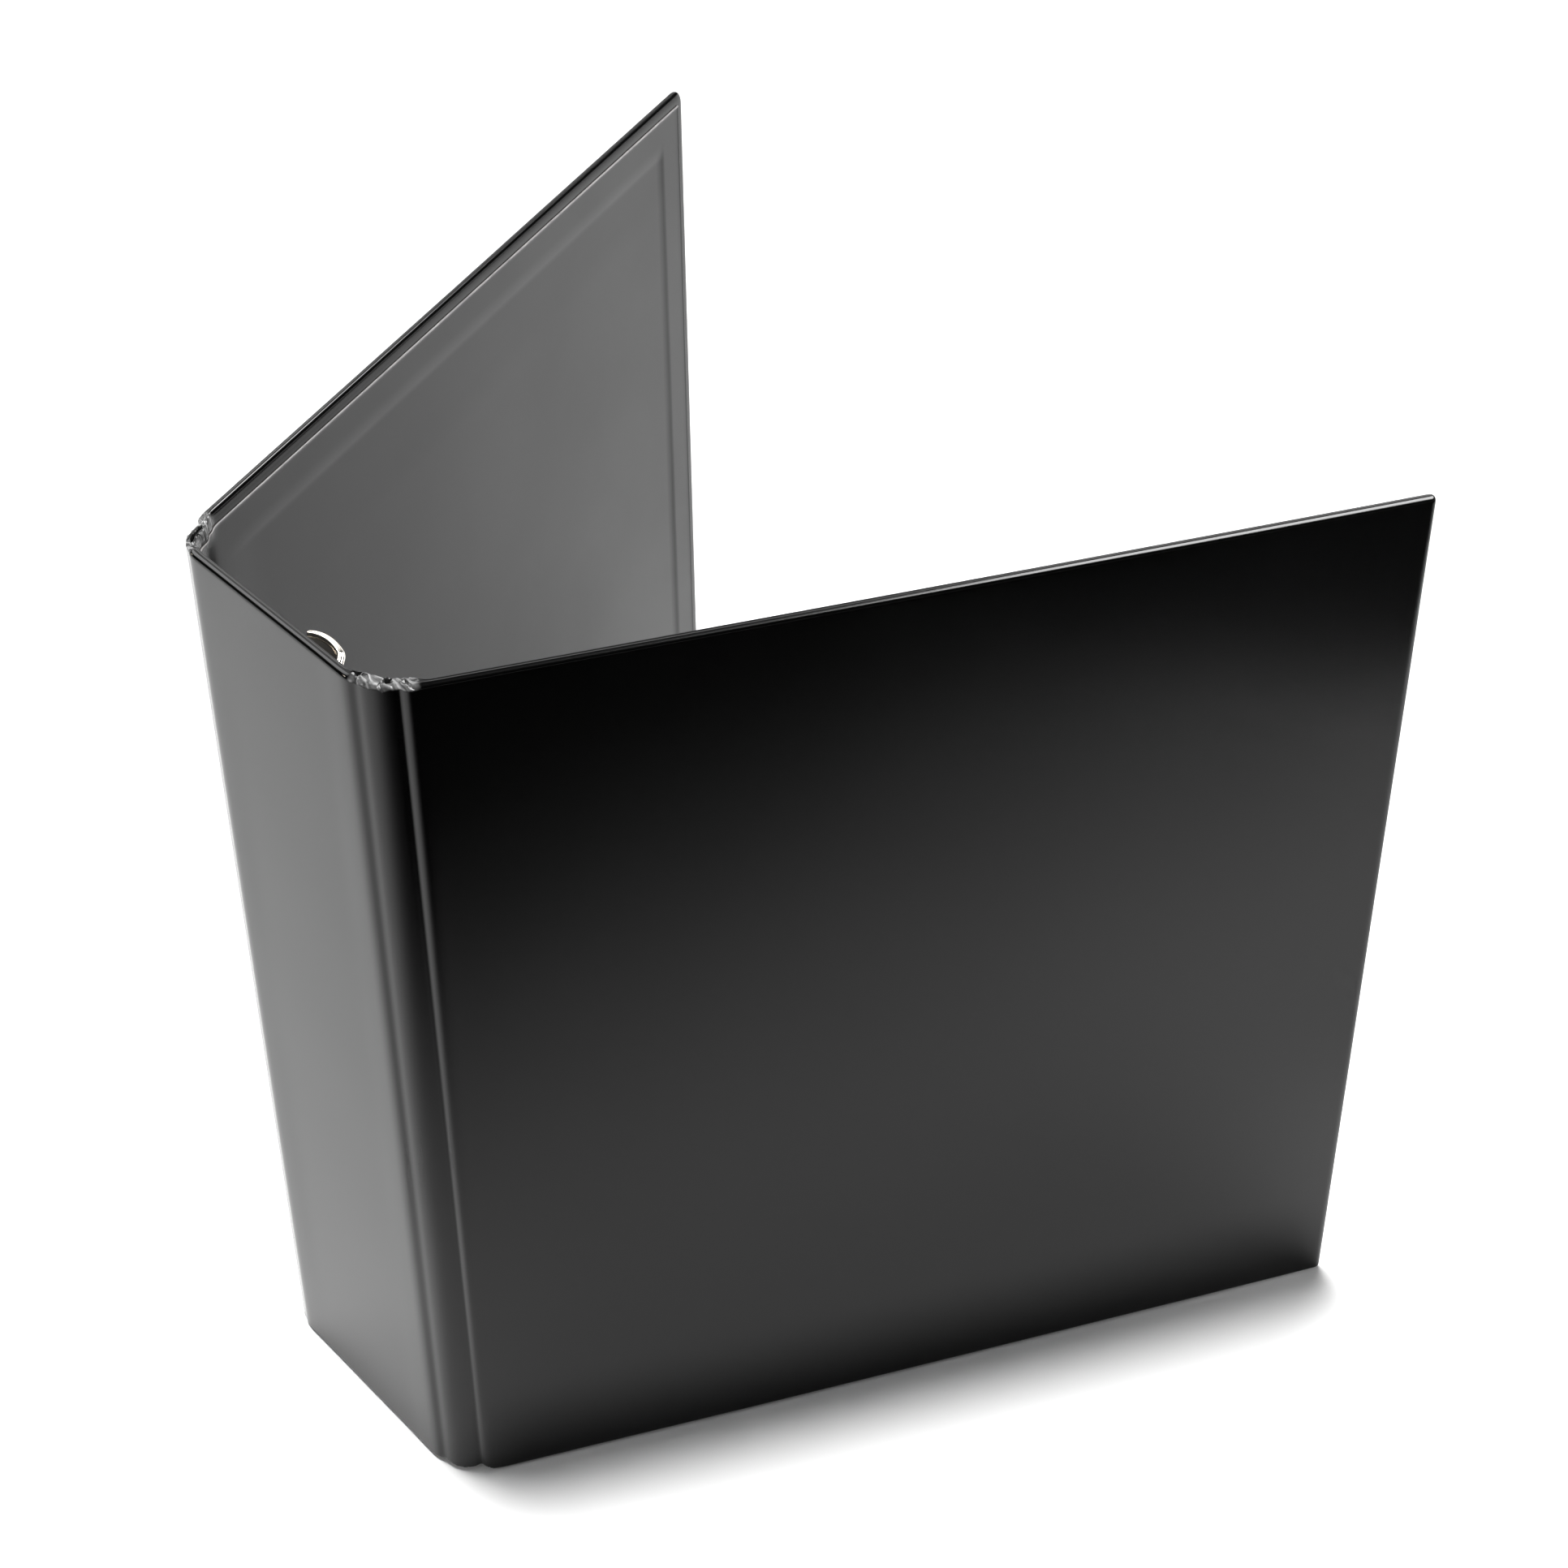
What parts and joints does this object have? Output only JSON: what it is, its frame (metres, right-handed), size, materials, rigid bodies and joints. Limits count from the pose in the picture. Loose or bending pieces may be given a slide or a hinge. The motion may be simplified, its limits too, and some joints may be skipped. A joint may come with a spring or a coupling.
{
  "type": "ring binder",
  "caption": "Turned-edge ring binder standing open on its tail edge, with hinged covers, narrow hinge strips and a lever-opened ring mechanism.",
  "frame": {"origin": "middle of the spine's tail edge, at half the spine's thickness, on the surface that the binder stands on", "axes": "+X along the spine's width towards the front cover, +Y from the spine into the binder, +Z from tail to head"},
  "size_m": [0.3129, 0.2577, 0.292],
  "materials": {
    "wrap_vinyl": "satin black vinyl",
    "liner_vinyl": "satin charcoal liner sheet",
    "board": "grey chipboard",
    "nickel": "bright nickel plate",
    "steel": "plain zinc-plated steel"
  },
  "bodies": {
    "spine": {"spine_board": "board", "spine_wrap": "wrap_vinyl", "spine_liner": "liner_vinyl", "front_spine_hinge_web": "wrap_vinyl", "back_spine_hinge_web": "wrap_vinyl", "ring_housing": "nickel", "housing_rivets": "steel"},
    "front_strip": {"front_strip_board": "board", "front_strip_wrap": "wrap_vinyl", "front_strip_liner": "liner_vinyl", "front_cover_hinge_web": "wrap_vinyl"},
    "front_cover": {"front_cover_board": "board", "front_cover_wrap": "wrap_vinyl", "front_cover_liner": "liner_vinyl"},
    "back_strip": {"back_strip_board": "board", "back_strip_wrap": "wrap_vinyl", "back_strip_liner": "liner_vinyl", "back_cover_hinge_web": "wrap_vinyl"},
    "back_cover": {"back_cover_board": "board", "back_cover_wrap": "wrap_vinyl", "back_cover_liner": "liner_vinyl"},
    "front_rings": {"front_ring_plate": "steel", "upper_front_half_ring": "nickel", "middle_front_half_ring": "nickel", "lower_front_half_ring": "nickel"},
    "back_rings": {"back_ring_plate": "steel", "upper_back_half_ring": "nickel", "middle_back_half_ring": "nickel", "lower_back_half_ring": "nickel"},
    "upper_lever": {"upper_lever": "nickel"},
    "lower_lever": {"lower_lever": "nickel"}
  },
  "joints": [
    {"name": "front_strip_hinge", "type": "hinge", "parent": "spine", "child": "front_strip", "pos_m": [0.0378, -0.00115, 0], "axis": [0, 0, 1], "range_deg": [-84.72, 12.72]},
    {"name": "front_cover_hinge", "type": "hinge", "parent": "front_strip", "child": "front_cover", "pos_m": [0.04783, 0.00614, 0], "axis": [0, 0, 1], "range_deg": [-71.79, 10.79]},
    {"name": "back_strip_hinge", "type": "hinge", "parent": "spine", "child": "back_strip", "pos_m": [-0.0378, -0.00115, 0], "axis": [0, 0, -1], "range_deg": [-106.36, 16.36]},
    {"name": "back_cover_hinge", "type": "hinge", "parent": "back_strip", "child": "back_cover", "pos_m": [-0.04657, 0.00762, 0], "axis": [0, 0, -1], "range_deg": [-49.65, 7.65]},
    {"name": "front_rings_swing", "type": "hinge", "parent": "spine", "child": "front_rings", "pos_m": [0.0108, 0.00395, 0.146], "axis": [0, 0, -1], "range_deg": [0, 17]},
    {"name": "back_rings_swing", "type": "hinge", "parent": "spine", "child": "back_rings", "pos_m": [-0.0108, 0.00395, 0.146], "axis": [0, 0, 1], "range_deg": [0, 17]},
    {"name": "upper_lever_pivot", "type": "hinge", "parent": "spine", "child": "upper_lever", "pos_m": [0, 0.00515, 0.2675], "axis": [1, 0, 0], "range_deg": [0, 28.01]},
    {"name": "lower_lever_pivot", "type": "hinge", "parent": "spine", "child": "lower_lever", "pos_m": [0, 0.00515, 0.0245], "axis": [-1, 0, 0], "range_deg": [0, 28.01]}
  ],
  "couplings": [
    {"joint": "front_cover_hinge", "follows": "front_strip_hinge", "ratio": 0.8472},
    {"joint": "back_cover_hinge", "follows": "back_strip_hinge", "ratio": 0.4667},
    {"joint": "back_rings_swing", "follows": "front_rings_swing", "ratio": 1},
    {"joint": "upper_lever_pivot", "follows": "front_rings_swing", "ratio": 1.6471},
    {"joint": "lower_lever_pivot", "follows": "front_rings_swing", "ratio": 1.6471}
  ]
}
